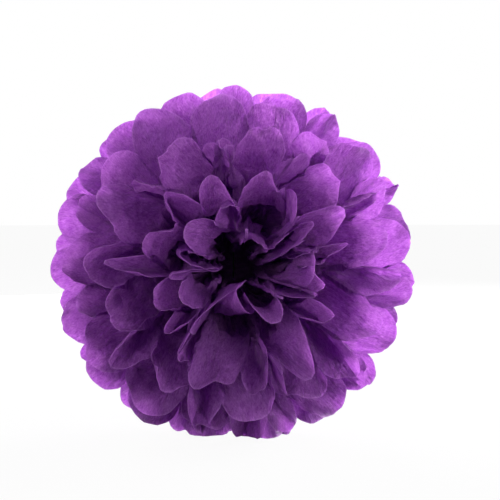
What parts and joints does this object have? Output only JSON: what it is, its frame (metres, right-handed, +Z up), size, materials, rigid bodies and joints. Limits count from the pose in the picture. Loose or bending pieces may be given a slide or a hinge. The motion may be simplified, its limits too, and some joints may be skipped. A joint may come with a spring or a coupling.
{
  "type": "tissue paper pom pom",
  "caption": "Ball of pleated, round-ended tissue paper sheets tied at the middle with wire and pulled apart into layered petals, to stand or hang as a decoration.",
  "frame": {"origin": "on the table, under the middle of the ball", "axes": "-Y is the way the front flower faces, +Z up, +X to the right as seen from the front"},
  "size_m": [0.2965, 0.2666, 0.2863],
  "materials": {
    "violet_tissue": "matt, translucent",
    "green_lacquered_wire": "satin"
  },
  "bodies": {
    "root": {"tissue_sheet_01": "violet_tissue", "tissue_sheet_02": "violet_tissue", "tissue_sheet_03": "violet_tissue", "tissue_sheet_04": "violet_tissue", "tissue_sheet_05": "violet_tissue", "tissue_sheet_06": "violet_tissue", "tissue_sheet_07": "violet_tissue", "tissue_sheet_08": "violet_tissue", "tissue_sheet_09": "violet_tissue", "tissue_sheet_10": "violet_tissue", "wire_tie": "green_lacquered_wire"}
  },
  "joints": []
}
